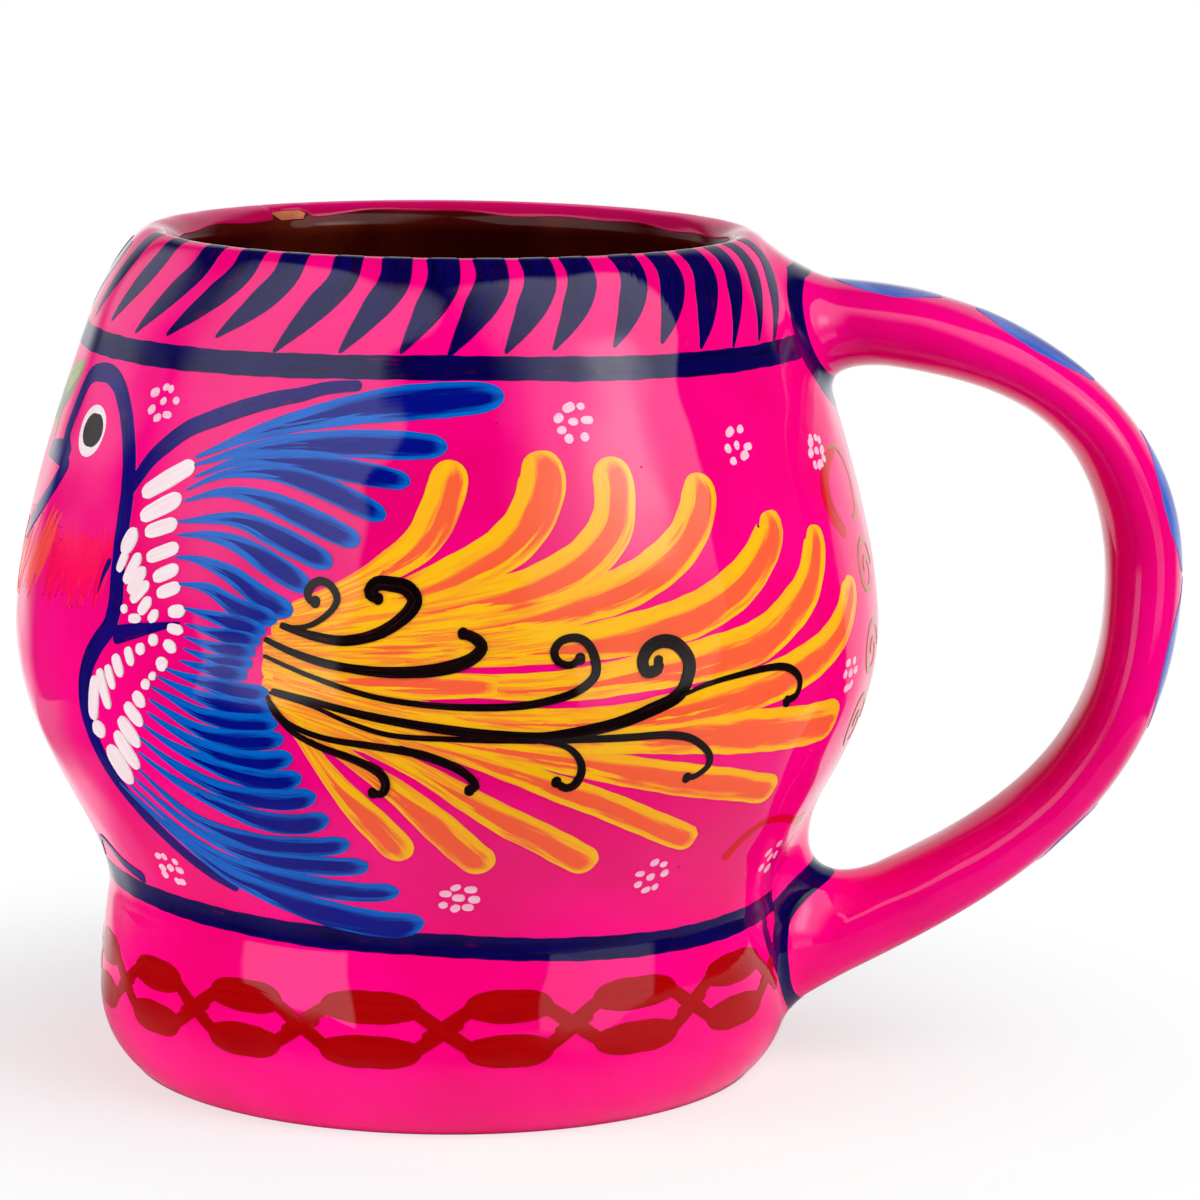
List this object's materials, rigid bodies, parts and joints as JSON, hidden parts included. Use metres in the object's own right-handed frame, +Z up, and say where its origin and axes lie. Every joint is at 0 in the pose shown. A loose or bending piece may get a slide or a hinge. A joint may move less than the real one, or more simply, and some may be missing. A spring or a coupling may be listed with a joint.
{
  "type": "clay mug",
  "caption": "Round-bellied hand-made clay mug with a strap handle, brown-glazed inside and coated in bright pink enamel with painted folk ornament.",
  "frame": {"origin": "centre of the flat base, on the axis of the round body", "axes": "+Z up along the body's axis, +X towards the handle, +Y away from a viewer who has the handle on the right"},
  "size_m": [0.1285, 0.095, 0.0924],
  "materials": {
    "fired_clay": "matt fired red clay",
    "slip_clay": "matt fired slip",
    "brown_glaze": "glossy dark brown glaze",
    "pink_enamel": "high-gloss lacquered pink enamel",
    "navy_enamel": "high-gloss brushed navy enamel",
    "blue_enamel": "high-gloss brushed blue enamel",
    "yellow_enamel": "high-gloss brushed yellow enamel",
    "red_enamel": "high-gloss brushed red enamel",
    "black_enamel": "high-gloss brushed black enamel",
    "white_enamel": "high-gloss dabbed white enamel",
    "green_enamel": "high-gloss brushed green enamel"
  },
  "bodies": {
    "root": {"clay_body": "fired_clay", "inner_glaze": "brown_glaze", "body_enamel": "pink_enamel", "handle": "fired_clay", "upper_handle_joint": "slip_clay", "lower_handle_joint": "slip_clay", "handle_enamel": "pink_enamel"}
  },
  "joints": []
}
